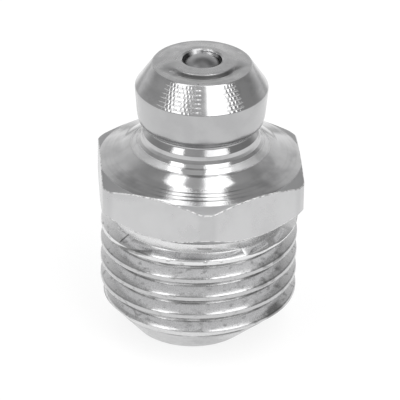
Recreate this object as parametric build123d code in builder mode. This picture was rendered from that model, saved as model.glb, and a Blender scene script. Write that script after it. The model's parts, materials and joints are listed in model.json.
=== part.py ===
"""Straight grease nipple M10 x 1 with its ball check valve, in millimetres.

The origin is at the middle of the end face of the threaded shank and +Z points up the axis,
out through the inlet in the head. The front of the hexagon looks along -Y.
"""
import os
from math import radians, sin, sqrt, tan

from build123d import *

# Threaded shank
thread_diameter = 9.72          # crest of the M10 thread, within its tolerance
thread_pitch = 1.0
thread_depth = 0.55
thread_root_flat = 0.13
thread_flank_angle = 30.0       # each flank from the radial line
thread_phase = 0.7              # height at which the groove starts, on the +X side
groove_overreach = 0.1          # the cutter passes this far out of the bar
bar_overhang = 1.5
shank_length = 7.0              # end face to the underside of the hexagon
nose_diameter = 5.6             # flat of the end face
nose_cone_angle = 45.0
nose_edge_radius = 0.25
relief_diameter = 8.62          # groove between the thread and the hexagon
relief_width = 0.8
relief_ramp = 0.05

# Hexagon
hex_across_flats = 9.85
hex_corner_diameter = 11.04     # the bar is turned down a little over its corners
hex_height = 1.96               # underside to the top of the corners
hex_foot_diameter = 9.76
hex_foot_angle = 40.0
hex_top_angle = 21.0
hex_turn = 4.3                  # the front corner stands this far round from -Y, in degrees

# Turned neck, from the hexagon up to the head
flare_diameter = 9.2            # where the neck's flare leaves the cone of the hexagon
low_ridge_diameter = 6.7
low_ridge_height = 0.95         # above the corners of the hexagon, as the next heights are
middle_ridge_diameter = 6.34
middle_ridge_height = 1.3
top_ridge_diameter = 5.76
top_ridge_height = 1.74
ridge_notch = 0.1               # radial depth of the V notches between the ridges
neck_groove_diameter = 5.2
neck_groove_height = 2.1        # middle of the groove's flat bottom
neck_groove_width = 0.1
head_foot_height = 2.29

# Head
head_foot_diameter = 5.94
head_heel_diameter = 6.22       # the heel's chamfer ends here, and the taper begins
head_heel_height = 0.3
head_diameter = 6.5
head_taper_length = 1.43
head_land = 0.18
head_cone_height = 1.21
head_top_diameter = 4.84
boss_diameter = 3.4             # low boss in the middle of the flat, round the inlet
boss_height = 0.25

# Inlet, seat and bore
inlet_diameter = 1.74
inlet_edge_radius = 0.16
seat_depth = 0.22               # top of the boss to the top of the seat
seat_half_angle = 40.0
bore_diameter = 2.9
crimp_mouth_diameter = 2.0      # opening left by the crimped end
crimp_thickness = 0.45
crimp_ramp = 0.4
stake_ring_diameter = 3.7       # groove that the crimping punch leaves in the end face
stake_ring_width = 0.6
stake_ring_depth = 0.3

# Ball and spring
ball_diameter = 2.38
seat_gap = 0.02
spring_wire = 0.3
spring_mean_diameter = 1.7
spring_turns = 6.5
spring_wire_sides = 8
spring_gap = 0.03

# Heights and radii that follow from the sizes above
thread_radius = thread_diameter / 2
root_radius = thread_radius - thread_depth
groove_reach = thread_depth + groove_overreach
groove_half_root = thread_root_flat / 2
groove_half_mouth = groove_half_root + groove_reach * tan(radians(thread_flank_angle))
nose_radius = nose_diameter / 2
relief_radius = relief_diameter / 2
relief_bottom = shank_length - relief_width
hex_corner_radius = hex_corner_diameter / 2
hex_foot_radius = hex_foot_diameter / 2
hex_foot_rise = (hex_corner_radius - hex_foot_radius) * tan(radians(hex_foot_angle))
hex_top = shank_length + hex_height
flare_radius = flare_diameter / 2
flare_height = hex_top + (hex_corner_radius - flare_radius) * tan(radians(hex_top_angle))
low_notch_radius = (low_ridge_diameter + middle_ridge_diameter) / 4 - ridge_notch
high_notch_radius = (middle_ridge_diameter + top_ridge_diameter) / 4 - ridge_notch
neck_groove_radius = neck_groove_diameter / 2
neck_groove_middle = hex_top + neck_groove_height
head_foot = hex_top + head_foot_height
head_heel = head_foot + head_heel_height
head_wide = head_heel + head_taper_length
head_edge = head_wide + head_land
head_flat = head_edge + head_cone_height
boss_top = head_flat + boss_height
ball_radius = ball_diameter / 2
bore_radius = bore_diameter / 2
inlet_radius = inlet_diameter / 2
seat_top = boss_top - seat_depth
seat_apex = seat_top + inlet_radius / tan(radians(seat_half_angle))
seat_bottom = seat_apex - bore_radius / tan(radians(seat_half_angle))
ball_centre = seat_apex - (ball_radius + seat_gap) / sin(radians(seat_half_angle))

with BuildPart() as body:
    # Threaded bar: one right-hand groove cut all along a plain bar that overhangs both ends
    with Locations((0, 0, -bar_overhang)):
        Cylinder(
            thread_radius,
            shank_length + 2 * bar_overhang,
            align=(Align.CENTER, Align.CENTER, Align.MIN),
        )
    with BuildLine() as groove_path:
        Helix(
            pitch=thread_pitch,
            height=shank_length - relief_width / 2 - thread_phase,
            radius=root_radius,
            center=(0, 0, thread_phase),
        )
    with BuildSketch(Plane(origin=groove_path.line @ 0, x_dir=(1, 0, 0), z_dir=groove_path.line % 0)):
        Polygon(
            (0, -groove_half_root),
            (groove_reach, -groove_half_mouth),
            (groove_reach, groove_half_mouth),
            (0, groove_half_root),
            align=None,
        )
    sweep(path=groove_path.line, is_frenet=True, mode=Mode.SUBTRACT)

    # Shank: the bar turned to its nose cone, threaded length and relief groove
    with BuildSketch(Plane.XZ) as shank_profile:
        with BuildLine():
            Polyline(
                (0, 0),
                (nose_radius, 0),
                (thread_radius, (thread_radius - nose_radius) * tan(radians(nose_cone_angle))),
                (thread_radius, relief_bottom - relief_ramp),
                (relief_radius, relief_bottom),
                (relief_radius, shank_length),
                (0, shank_length),
                close=True,
            )
        make_face()
        nose_corner = shank_profile.vertices().group_by(Axis.Y)[0].sort_by(Axis.X)[-1]
        fillet(nose_corner, radius=nose_edge_radius)
    revolve(axis=Axis.Z, mode=Mode.INTERSECT)

    # Hexagon: a turned collar with a cone above and below, milled to its six flats
    with BuildSketch(Plane.XZ):
        with BuildLine():
            Polyline(
                (0, shank_length),
                (hex_foot_radius, shank_length),
                (hex_corner_radius, shank_length + hex_foot_rise),
                (hex_corner_radius, hex_top),
                (flare_radius, flare_height),
                (0, flare_height),
                close=True,
            )
        make_face()
    revolve(axis=Axis.Z)
    with BuildSketch(Plane.XY.offset(shank_length)):
        Circle(hex_across_flats)
        RegularPolygon(
            hex_across_flats / 2,
            side_count=6,
            major_radius=False,
            rotation=hex_turn - 90,
            mode=Mode.SUBTRACT,
        )
    extrude(amount=flare_height - shank_length, mode=Mode.SUBTRACT)

    # Neck: a flare and three fine ridges with V notches between, then the groove under the head
    # Head: chamfered heel, taper, narrow land, cone, flat and the boss of the inlet
    with BuildSketch(Plane.XZ):
        with BuildLine():
            low_ridge = (low_ridge_diameter / 2, hex_top + low_ridge_height)
            middle_ridge = (middle_ridge_diameter / 2, hex_top + middle_ridge_height)
            top_ridge = (top_ridge_diameter / 2, hex_top + top_ridge_height)
            Polyline(
                (0, flare_height),
                (flare_radius, flare_height),
                low_ridge,
                (low_notch_radius, hex_top + (low_ridge_height + middle_ridge_height) / 2),
                middle_ridge,
                (high_notch_radius, hex_top + (middle_ridge_height + top_ridge_height) / 2),
                top_ridge,
                (neck_groove_radius, neck_groove_middle - neck_groove_width / 2),
                (neck_groove_radius, neck_groove_middle + neck_groove_width / 2),
                (head_foot_diameter / 2, head_foot),
                (head_heel_diameter / 2, head_heel),
                (head_diameter / 2, head_wide),
                (head_diameter / 2, head_edge),
                (head_top_diameter / 2, head_flat),
                (boss_diameter / 2, head_flat),
                (boss_diameter / 2, boss_top),
                (0, boss_top),
                close=True,
            )
        make_face()
    revolve(axis=Axis.Z)

    # Valve bore, open through the crimped end, with the seat and the inlet above it
    with BuildSketch(Plane.XZ):
        with BuildLine():
            Polyline(
                (0, 0),
                (crimp_mouth_diameter / 2, 0),
                (crimp_mouth_diameter / 2, crimp_thickness),
                (bore_radius, crimp_thickness + crimp_ramp),
                (bore_radius, seat_bottom),
                (inlet_radius, seat_top),
                (inlet_radius, boss_top - inlet_edge_radius),
            )
            RadiusArc(
                (inlet_radius, boss_top - inlet_edge_radius),
                (inlet_radius + inlet_edge_radius, boss_top),
                inlet_edge_radius,
            )
            Polyline((inlet_radius + inlet_edge_radius, boss_top), (0, boss_top), (0, 0))
        make_face()
    revolve(axis=Axis.Z, mode=Mode.SUBTRACT)

    # Ring groove pressed into the end face to turn the crimp inwards
    with BuildSketch(Plane.XZ):
        with BuildLine():
            Polyline(
                (stake_ring_diameter / 2 - stake_ring_width / 2, 0),
                (stake_ring_diameter / 2, stake_ring_depth),
                (stake_ring_diameter / 2 + stake_ring_width / 2, 0),
                close=True,
            )
        make_face()
    revolve(axis=Axis.Z, mode=Mode.SUBTRACT)

body.part.label = "body"

# Steel ball that closes the inlet from inside
with BuildPart() as check_ball:
    with BuildSketch(Plane.XZ):
        with Locations((0, ball_centre)):
            Circle(ball_radius)
            Rectangle(ball_diameter, ball_diameter, align=(Align.MAX, Align.CENTER), mode=Mode.SUBTRACT)
    revolve(axis=Axis.Z)

check_ball.part.label = "check_ball"

# Compression spring between the crimp and the ball
spring_radius = spring_mean_diameter / 2
wire_radius = spring_wire / 2
ball_drop = sqrt((ball_radius + wire_radius + spring_gap) ** 2 - spring_radius**2)
spring_bottom = crimp_thickness + crimp_ramp + wire_radius
spring_top = ball_centre - ball_drop
with BuildPart() as spring:
    with BuildLine() as coil_path:
        Helix(
            pitch=(spring_top - spring_bottom) / spring_turns,
            height=spring_top - spring_bottom,
            radius=spring_radius,
            center=(0, 0, spring_bottom),
        )
    with BuildSketch(Plane(origin=coil_path.line @ 0, x_dir=(1, 0, 0), z_dir=coil_path.line % 0)):
        RegularPolygon(wire_radius, side_count=spring_wire_sides)
    sweep(path=coil_path.line, is_frenet=True)

spring.part.label = "spring"

os.makedirs("parts", exist_ok=True)
export_step(body.part, "parts/body.step")
export_step(check_ball.part, "parts/check_ball.step")
export_step(spring.part, "parts/spring.step")
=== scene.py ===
"""Looks of a straight grease nipple: plated steel fitting, check ball and spring, with its studio."""

import json
import logging
import math
from dataclasses import dataclass, field
from enum import Enum
from functools import cached_property, partial, reduce

import bpy
import numpy as np
from mathutils import Matrix, Vector

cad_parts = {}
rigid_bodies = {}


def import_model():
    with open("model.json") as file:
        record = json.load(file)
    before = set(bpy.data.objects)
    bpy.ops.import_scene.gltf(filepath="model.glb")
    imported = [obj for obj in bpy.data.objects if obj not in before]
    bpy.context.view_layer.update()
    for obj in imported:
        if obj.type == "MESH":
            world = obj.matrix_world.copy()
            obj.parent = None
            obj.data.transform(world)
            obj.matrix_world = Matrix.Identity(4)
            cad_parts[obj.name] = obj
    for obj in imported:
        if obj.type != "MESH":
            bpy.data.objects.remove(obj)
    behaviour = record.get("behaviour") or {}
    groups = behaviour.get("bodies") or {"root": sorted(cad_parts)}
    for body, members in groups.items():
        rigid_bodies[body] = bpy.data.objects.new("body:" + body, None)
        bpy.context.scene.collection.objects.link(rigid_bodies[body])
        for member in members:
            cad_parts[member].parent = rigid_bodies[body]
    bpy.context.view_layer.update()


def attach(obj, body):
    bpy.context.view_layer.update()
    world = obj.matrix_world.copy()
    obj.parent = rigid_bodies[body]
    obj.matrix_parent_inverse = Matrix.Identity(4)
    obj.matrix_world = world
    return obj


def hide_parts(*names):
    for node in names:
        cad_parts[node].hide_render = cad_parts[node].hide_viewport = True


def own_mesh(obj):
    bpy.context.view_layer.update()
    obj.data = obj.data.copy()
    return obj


MM = 0.001
LOG = logging.getLogger("grease_nipple")
GRAIN = (14.0, 3.0)     # the plating's grain: features per mm and octaves
GRAIN_DEPTH = 0.002     # in mm
RADIUS_SHARE = 0.83     # a step outwards counts this much of a step upwards in the turning marks
ARC_SHARE = 0.45        # most of a side that the arc at a corner may take up
FRONT = -90.0           # the front's angle from +X, in degrees
MIX_SOCKETS = (6, 7, 2)     # a Mix node's two colour inputs and its colour output
WELD = 0.0004 * MM      # points nearer than this become one

Pair = tuple[float, float]
Triple = tuple[float, float, float]
Tone = tuple[float, float, float]               # red, green and blue
Noise = tuple[float, ...]                       # features per mm, octaves, and the squeeze if there is one
Edges = tuple[float, float]                     # the two ends of a mask's climb or drop
Window = tuple[float, float, float, float]      # where a mask starts, is full, starts to fade and has faded
Ramp = tuple[float, float, float, float]        # low, high, the result at low and the result at high
Face = tuple[int, ...]                          # the numbers of its points
Inputs = dict[str | int, object]                # a value or a socket for each input, by name or number
Output = bpy.types.NodeSocket
Value = float | Output
Surface = tuple[Output, Value, Output]          # a finish's colour, roughness and normal


class Zone(Enum):
    """The zones of the turned body that are finished in different ways, in material-slot order."""

    END = 0
    THREAD = 1
    HEXAGON = 2
    SHOULDER = 3
    NECK = 4
    BAND = 5
    CONE = 6
    FACE = 7
    BORE = 8
    BURR = 9


class Op(Enum):
    """The operations of Math nodes, with Blender's names for them."""

    ADD = "ADD"
    SUBTRACT = "SUBTRACT"
    MULTIPLY = "MULTIPLY"
    DIVIDE = "DIVIDE"
    ROOT = "SQRT"
    SINE = "SINE"
    COSINE = "COSINE"
    ANGLE = "ARCTAN2"
    SIZE = "ABSOLUTE"
    FLOOR = "FLOOR"
    FRACTION = "FRACT"
    LEAST = "MINIMUM"
    MOST = "MAXIMUM"


def grey(level: float, cast: float = 0.005) -> Tone:
    """Gives a grey whose blue is higher than the rest by the cast."""
    return (level, level, level + cast)


class NodeGraph:
    """A node tree under construction, with short calls for arithmetic and masks."""

    def __init__(self, tree: bpy.types.NodeTree) -> None:
        """Empties a node tree, ready for its nodes.

        Args:
            tree: The tree of a material or a world.
        """
        self.tree = tree
        self.tree.nodes.clear()

    def add(self, kind: str, inputs: Inputs | None = None, **settings: str) -> bpy.types.Node:
        """Adds a node.

        Args:
            kind: The node's type.
            inputs: Values and sockets for its inputs.
            settings: The node's own settings.

        Returns:
            The node.
        """
        node = self.tree.nodes.new(kind)
        for name, choice in settings.items():
            setattr(node, name, choice)
        for place, value in (inputs or {}).items():
            if isinstance(value, Output):
                self.tree.links.new(value, node.inputs[place])
            else:
                node.inputs[place].default_value = value
        return node

    def math(self, operation: Op, first: Value, second: Value = 0.0) -> Output:
        """Adds a Math node.

        Args:
            operation: What it does.
            first: The first number or socket.
            second: The second number or socket.

        Returns:
            The result's socket.
        """
        return self.add("ShaderNodeMath", {0: first, 1: second}, operation=operation.value).outputs[0]

    def total(self, *terms: Value) -> Output:
        """Adds up numbers or sockets and returns the sum's socket."""
        return reduce(partial(self.math, Op.ADD), terms)

    def times(self, *terms: Value) -> Output:
        """Multiplies numbers or sockets and returns the product's socket."""
        return reduce(partial(self.math, Op.MULTIPLY), terms)

    def away(self, value: Value, middle: float) -> Output:
        """Gives the socket of a value's distance from a middle."""
        return self.math(Op.SIZE, self.math(Op.SUBTRACT, value, middle))

    def span(self, value: Value, low: float, high: float, at_low: float, at_high: float) -> Output:
        """Adds a smooth Map Range node.

        Args:
            value: The number to map.
            low: The value that gives at_low.
            high: The value that gives at_high.
            at_low: The result at low and below it.
            at_high: The result at high and above it.

        Returns:
            The result's socket.
        """
        limits = {"Value": value, "From Min": low, "From Max": high, "To Min": at_low, "To Max": at_high}
        return self.add("ShaderNodeMapRange", limits, interpolation_type="SMOOTHSTEP").outputs["Result"]

    def rise(self, value: Value, low: float, high: float, most: float = 1.0) -> Output:
        """Gives the socket of a mask that climbs from 0 at low to its most at high."""
        return self.span(value, low, high, 0.0, most)

    def fall(self, value: Value, low: float, high: float, most: float = 1.0) -> Output:
        """Gives the socket of a mask that drops from its most at low to 0 at high."""
        return self.span(value, low, high, most, 0.0)

    def within(self, value: Value, window: Window, most: float = 1.0) -> Output:
        """Gives the socket of a mask that climbs over a window's first two edges and drops over its last."""
        return self.times(self.rise(value, *window[:2], most), self.fall(value, *window[2:]))

    def split(self, vector: Output) -> tuple[Output, ...]:
        """Gives the sockets of a vector's X, Y and Z."""
        return tuple(self.add("ShaderNodeSeparateXYZ", {0: vector}).outputs)

    def show(self, output: str, share: Output, first: Output, second: Output) -> None:
        """Ends the tree with a mix of two shaders.

        Args:
            output: The type of the tree's output node.
            share: How much of the second shader shows.
            first: The first shader.
            second: The second shader.
        """
        mix = self.add("ShaderNodeMixShader", {0: share, 1: first, 2: second})
        self.add(output, {"Surface": mix.outputs[0]})


class NodeBench(NodeGraph):
    """A material under construction, with short calls for the patterns that finishes use."""

    def __init__(self, name: str) -> None:
        """Starts an empty material.

        Args:
            name: The material's name.
        """
        self.material = bpy.data.materials.new(name)
        self.material.use_nodes = True
        super().__init__(self.material.node_tree)
        self.point = self.add("ShaderNodeTexCoord").outputs["Object"]

    @cached_property
    def polar(self) -> tuple[Output, Output, Output]:
        """The sockets of a point's radius in mm, angle round the axis in radians and height in mm."""
        across, along, up = self.split(self.point)
        square = self.total(self.times(across, across), self.times(along, along))
        radius = self.times(self.math(Op.ROOT, square), 1 / MM)
        return radius, self.math(Op.ANGLE, along, across), self.times(up, 1 / MM)

    def behind(self, turn: float = 0.0) -> Output:
        """Gives the socket of a wave from -1 in front to 1 behind, turned by some radians."""
        return self.math(Op.SINE, self.total(self.polar[1], -turn))

    def aside(self) -> Output:
        """Gives the socket of a wave from -1 at the -X side to 1 at the +X side."""
        return self.math(Op.COSINE, self.polar[1])

    def texture(self, vector: Output, detail: float) -> Output:
        """Gives the socket of a noise over a vector, between 0 and 1."""
        inputs = {"Vector": vector, "Scale": 1.0, "Detail": detail}
        return self.add("ShaderNodeTexNoise", inputs).outputs["Fac"]

    def noise(self, scale: float, detail: float, squeeze: float = 1.0) -> Output:
        """Adds a noise texture in object space.

        Args:
            scale: Features per millimetre.
            detail: Octaves of finer noise.
            squeeze: How many times wider than high the features are.

        Returns:
            The noise value's socket, between 0 and 1.
        """
        rate = scale / MM
        inputs = {"Vector": self.point, "Scale": (rate, rate, rate * squeeze)}
        return self.texture(self.add("ShaderNodeMapping", inputs).outputs["Vector"], detail)

    def rings(self, pitch: float, wander: float = 0.8) -> Output:
        """Adds the height of fine turning marks, which run round the axis.

        Args:
            pitch: Distance between two marks in mm, along the surface's radius or height.
            wander: How strongly the marks' spacing varies.

        Returns:
            The marks' height socket, between 0 and 1.
        """
        radius, _, height = self.polar
        line = self.math(Op.DIVIDE, self.total(self.times(radius, RADIUS_SHARE), height), pitch)
        turned = {0: line, 1: self.times(self.behind(), wander), 2: self.times(self.aside(), wander)}
        return self.texture(self.add("ShaderNodeCombineXYZ", turned).outputs[0], detail=2.0)

    def relief(self, *layers: tuple[Output, float]) -> Output:
        """Adds a Bump node for each layer of a relief, from the lowest layer up.

        Args:
            layers: The height, between 0 and 1, and the depth in mm of each layer.

        Returns:
            The normal's socket.
        """
        below: dict[str, Output] = {}
        for height, depth in layers:
            inputs = {"Strength": 1.0, "Distance": depth * MM, "Height": height, **below}
            below = {"Normal": self.add("ShaderNodeBump", inputs).outputs["Normal"]}
        return below["Normal"]

    def coats(self, tone: Tone, *layers: tuple[Output, Tone]) -> Output:
        """Covers a tone with layers of other tones, from the lowest layer up.

        Args:
            tone: The tone at the bottom.
            layers: How much each layer covers, between 0 and 1, and its tone.

        Returns:
            The colour's socket.
        """
        under, over, mixed = MIX_SOCKETS
        colour: object = (*tone, 1)
        for amount, layer in layers:
            inputs = {"Factor": amount, under: colour, over: (*layer, 1)}
            colour = self.add("ShaderNodeMix", inputs, data_type="RGBA").outputs[mixed]
        return colour

    def plate(self, colour: Output, roughness: Value, normal: Output) -> bpy.types.Material:
        """Ends the material as a bare metal.

        Args:
            colour: The colour's socket.
            roughness: The roughness or its socket.
            normal: The normal's socket.

        Returns:
            The finished material.
        """
        metal = {"Metallic": 1.0, "Base Color": colour, "Roughness": roughness, "Normal": normal}
        shader = self.add("ShaderNodeBsdfPrincipled", metal)
        self.add("ShaderNodeOutputMaterial", {"Surface": shader.outputs["BSDF"]})
        return self.material


@dataclass(frozen=True)
class Mottle:
    """A soft uneven pattern: a noise, and the pattern's values at a low and a high value of it."""

    scale: float
    detail: float
    low: float
    high: float
    at_low: float = 0.0
    at_high: float = 1.0
    squeeze: float = 1.0

    def mask(self, bench: NodeBench) -> Output:
        """Adds the pattern to a material and returns its socket."""
        noise = bench.noise(self.scale, self.detail, self.squeeze)
        return bench.span(noise, self.low, self.high, self.at_low, self.at_high)


@dataclass(frozen=True)
class Finish:
    """A metal finish, which builds its own material."""

    name: str

    def material(self) -> bpy.types.Material:
        """Builds the finish's material and returns it."""
        bench = NodeBench(self.name)
        return bench.plate(*self.surface(bench))

    def surface(self, bench: NodeBench) -> Surface:
        """Lays the finish's layers.

        Args:
            bench: The material under construction.

        Returns:
            The colour, the roughness and the normal.
        """
        raise NotImplementedError


@dataclass(frozen=True)
class TurnedPlate(Finish):
    """Bright plating over a lathe-turned surface."""

    clean: Tone
    worn: Tone
    mark_pitch: float = 0.09
    mark_depth: float = 0.006
    clouds: Mottle = Mottle(0.9, 4.0, 0.35, 0.75)
    sheen: Mottle = Mottle(0.9, 4.0, 0.3, 0.7, 0.16, 0.26)

    def surface(self, bench: NodeBench) -> Surface:
        """Lays clouded plating over turning marks and fine grain.

        Args:
            bench: The material under construction.

        Returns:
            The colour, the roughness and the normal.
        """
        marks = bench.rings(self.mark_pitch)
        normal = bench.relief((marks, self.mark_depth), (bench.noise(*GRAIN), GRAIN_DEPTH))
        colour = bench.coats(self.clean, (self.clouds.mask(bench), self.worn))
        return colour, self.sheen.mask(bench), normal


@dataclass(frozen=True)
class TurnedShoulder(Finish):
    """Bright plating over the hexagon's cone: scored in front, smeared at the sides, dull at the corners,
    with a pale flare of painted light and dark lines of painted shade.

    Sizes and windows along the radius are in mm, and each dark line is a radius and a half width. The ridge's
    window round the axis is in radians, and sides and fronts are in the wave from -1 in front to 1 behind.
    """

    clean: Tone = grey(0.66)
    worn: Tone = grey(0.56)
    stain: Tone = grey(0.34)
    blunt: Tone = grey(0.43)
    # The flare's pale tone at the sides is painted light
    pale: Tone = grey(0.82)
    # The dark lines' tone: painted shade
    grime_and_shade: Tone = grey(0.22, 0.0)
    clouds: Mottle = Mottle(0.9, 4.0, 0.35, 0.75)
    sheen: Mottle = Mottle(0.9, 4.0, 0.3, 0.7, 0.06, 0.12)
    stains: Mottle = Mottle(0.8, 2.0, 0.4, 0.7)
    patchy: Mottle = Mottle(1.4, 2.0, 0.35, 0.6, 0.5, 1.0)
    smear_pitch: float = 0.2
    smear_wander: float = 2.6
    smear: Ramp = (0.42, 0.66, 0.0, 0.6)
    sides: Edges = (-0.92, -0.8)
    corner: Edges = (4.96, 5.02)
    corner_dull: float = 0.42
    flare: Window = (3.05, 3.1, 3.36, 3.46)
    flare_dull: float = 0.4
    ridge: Window = (-1.76, -1.71, -1.52, -1.47)
    ridge_most: float = 0.6
    ridge_foot: Edges = (4.2, 4.45)
    scores: tuple[float, ...] = (4.28, 4.48, 4.69)
    score_half: float = 0.04
    scored_front: Edges = (-0.985, -0.95)
    lines: tuple[Pair, ...] = ((3.13, 0.05), (3.43, 0.07), (4.28, 0.05), (4.48, 0.03), (4.69, 0.07))
    line_core: float = 0.4
    line_most: float = 0.7
    lined_front: Ramp = (-0.97, -0.85, 1.0, 0.12)
    mark_pitch: float = 0.1
    depth: float = 0.005

    def marks(self, bench: NodeBench) -> tuple[Output, Output]:
        """Adds the scores cut into the front of the cone, and dark lines of painted shade in the scores and
        creases.

        Args:
            bench: The material under construction.

        Returns:
            The scores' height and how dark the lines are.
        """
        radius, back = bench.polar[0], bench.behind()
        scored, dark = 0.0, 0.0
        for score in self.scores:
            scored = bench.total(scored, bench.fall(bench.away(radius, score), 0.0, self.score_half, -1.0))
        # Dark lines of painted shade in the scores and in the creases at the neck's foot, strongest in front
        for middle, half in self.lines:
            line = bench.fall(bench.away(radius, middle), half * self.line_core, half, self.line_most)
            dark = bench.math(Op.MOST, dark, line)
        fading = bench.span(back, *self.lined_front)
        scored = bench.times(scored, bench.fall(back, *self.scored_front))
        return scored, bench.times(dark, fading, self.patchy.mask(bench))

    def surface(self, bench: NodeBench) -> Surface:
        """Lays clouds, a pale flare of painted light, smears, dull corners and dark lines of painted shade
        over turning marks.

        Args:
            bench: The material under construction.

        Returns:
            The colour, the roughness and the normal.
        """
        radius, angle, _ = bench.polar
        sides = bench.rise(bench.behind(), *self.sides)
        corner = bench.rise(radius, *self.corner)
        # The flare is painted pale at the sides, as painted light, and made duller
        flare = bench.times(bench.within(radius, self.flare), sides)
        ridge = bench.within(angle, self.ridge, self.ridge_most)
        ridge = bench.times(ridge, bench.rise(radius, *self.ridge_foot))
        wiped = bench.span(bench.rings(self.smear_pitch, self.smear_wander), *self.smear)
        smear = bench.times(wiped, self.stains.mask(bench), sides)
        scored, dark = self.marks(bench)
        marks = (bench.rings(self.mark_pitch), self.depth)
        normal = bench.relief((bench.noise(*GRAIN), GRAIN_DEPTH), marks, (scored, self.depth))
        clouds = (self.clouds.mask(bench), self.worn)
        tones_with_painted_light = ((flare, self.pale), (smear, self.stain), (ridge, self.stain))
        colour = bench.coats(self.clean, clouds, *tones_with_painted_light, (corner, self.blunt), (dark, self.grime_and_shade))
        dulled = (bench.times(corner, self.corner_dull), bench.times(flare, self.flare_dull))
        return colour, bench.total(self.sheen.mask(bench), *dulled), normal


@dataclass(frozen=True)
class ReamedInlet(Finish):
    """Plating inside the inlet: bare, with painted shade trimming the highlight at the back, painted shade on
    the walls elsewhere, and a rim with chips painted bright as glints.

    The turn is in radians and the rim's heights are in mm. The edges of the painted shade on the walls are in
    the wave from -1 in front to 1 behind, and those of the trimming shade and the glinting side in the wave
    from -X to +X.
    """

    clean: Tone = grey(0.5)
    # Chips painted bright as glints
    chip_glint: Tone = grey(0.95, 0.0)
    # Painted shade that trims the highlight at the back
    film: Tone = grey(0.28)
    # Painted shade on the inlet's walls
    painted_dark: Tone = grey(0.07, 0.0)
    painted_dark_turn: float = -0.12
    painted_dark_edges: Edges = (0.55, 0.76)
    painted_shade_window: Window = (-0.34, -0.26, 0.0, 0.08)
    glinting_chips_side: Edges = (-0.1, 0.1)
    rim: Edges = (14.5, 14.55)
    mark_pitch: float = 0.09
    mark_depth: float = 0.006
    chips: Noise = (7.0, 2.0)
    chip_glint_edges: Edges = (0.45, 0.55)
    chip_depth: float = 0.05
    roughness: float = 0.3

    def surface(self, bench: NodeBench) -> Surface:
        """Lays painted shade over turning marks, trimming the highlight at the back and darkening the walls
        elsewhere, with chips painted bright as glints along the rim at the +X side.

        Args:
            bench: The material under construction.

        Returns:
            The colour, the roughness and the normal.
        """
        across, height = bench.aside(), bench.polar[2]
        # Painted shade on the inlet's walls, all but the back
        painted_dark = bench.fall(bench.behind(self.painted_dark_turn), *self.painted_dark_edges)
        # Painted shade at the back, trimming the highlight
        film = bench.within(across, self.painted_shade_window)
        chips = bench.noise(*self.chips)
        rough = bench.times(bench.rise(across, *self.glinting_chips_side), bench.rise(height, *self.rim))
        # Chips along the rim at the +X side, painted bright as glints
        glinting_chips = bench.times(bench.rise(chips, *self.chip_glint_edges), rough)
        colour = bench.coats(self.clean, (glinting_chips, self.chip_glint), (film, self.film), (painted_dark, self.painted_dark))
        marks = (bench.rings(self.mark_pitch), self.mark_depth)
        return colour, self.roughness, bench.relief(marks, (bench.times(chips, rough), self.chip_depth))


@dataclass(frozen=True)
class ScuffedFace(Finish):
    """Plating over the flat of the head, scuffed by grease-gun couplers, and grimy with painted shade against
    the boss.

    Windows along the radius and heights are in mm. The others are in the wave from -1 in front to 1 behind,
    which for the boss is turned by its lean, in degrees.
    """

    clean: Tone = grey(0.55)
    worn: Tone = grey(0.47)
    grime_and_shade: Tone = grey(0.16, 0.0)
    rubbed: Tone = grey(0.68, 0.0)
    shaded: Tone = grey(0.43)
    mottle: Noise = (1.6, 5.0)
    clouds: Edges = (0.35, 0.7)
    sheen: Ramp = (0.3, 0.7, 0.24, 0.34)
    dull: float = 0.2
    nicks: Mottle = Mottle(3.4, 2.0, 0.66, 0.76)
    boss_lean: float = 8.0
    wall: Window = (1.65, 1.7, 1.75, 1.79)
    wall_top: Edges = (14.54, 14.565)
    wall_front: Edges = (-0.8, -0.5)
    rubbed_ring: Window = (1.76, 1.8, 2.0, 2.2)
    rubbed_front: Edges = (-0.8, -0.6)
    slope: Window = (1.6, 1.8, 1.9, 2.1)
    slope_turn: Window = (-0.75, -0.6, -0.2, 0.0)
    mark_pitch: float = 0.07
    mark_depth: float = 0.002
    nick_depth: float = 0.02
    mottle_depth: float = 0.012

    def surface(self, bench: NodeBench) -> Surface:
        """Lays rubbed metal and painted shade, grimy on the boss's front wall, round the boss over a mottled,
        nicked flat.

        Args:
            bench: The material under construction.

        Returns:
            The colour, the roughness and the normal.
        """
        radius, _, height = bench.polar
        lean = bench.behind(math.radians(self.boss_lean))
        mottle = bench.noise(*self.mottle)
        wall = bench.times(bench.within(radius, self.wall), bench.fall(height, *self.wall_top))
        # Grimy painted shade on the steep front wall of the boss
        dirt_and_shade = bench.times(wall, bench.fall(lean, *self.wall_front))
        front = bench.fall(bench.behind(), *self.rubbed_front)
        rubbed = bench.times(bench.within(radius, self.rubbed_ring), front)
        slope = bench.times(bench.within(radius, self.slope), bench.within(lean, self.slope_turn))
        normal = bench.relief(
            (bench.rings(self.mark_pitch), self.mark_depth),
            (self.nicks.mask(bench), self.nick_depth),
            (mottle, self.mottle_depth),
        )
        clouds = (bench.rise(mottle, *self.clouds), self.worn)
        tones_with_painted_light = ((rubbed, self.rubbed), (slope, self.shaded), (dirt_and_shade, self.grime_and_shade))
        colour = bench.coats(self.clean, clouds, *tones_with_painted_light)
        dulled = [bench.times(layer, self.dull) for layer in (dirt_and_shade, rubbed)]
        return colour, bench.total(bench.span(mottle, *self.sheen), *dulled), normal


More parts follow.
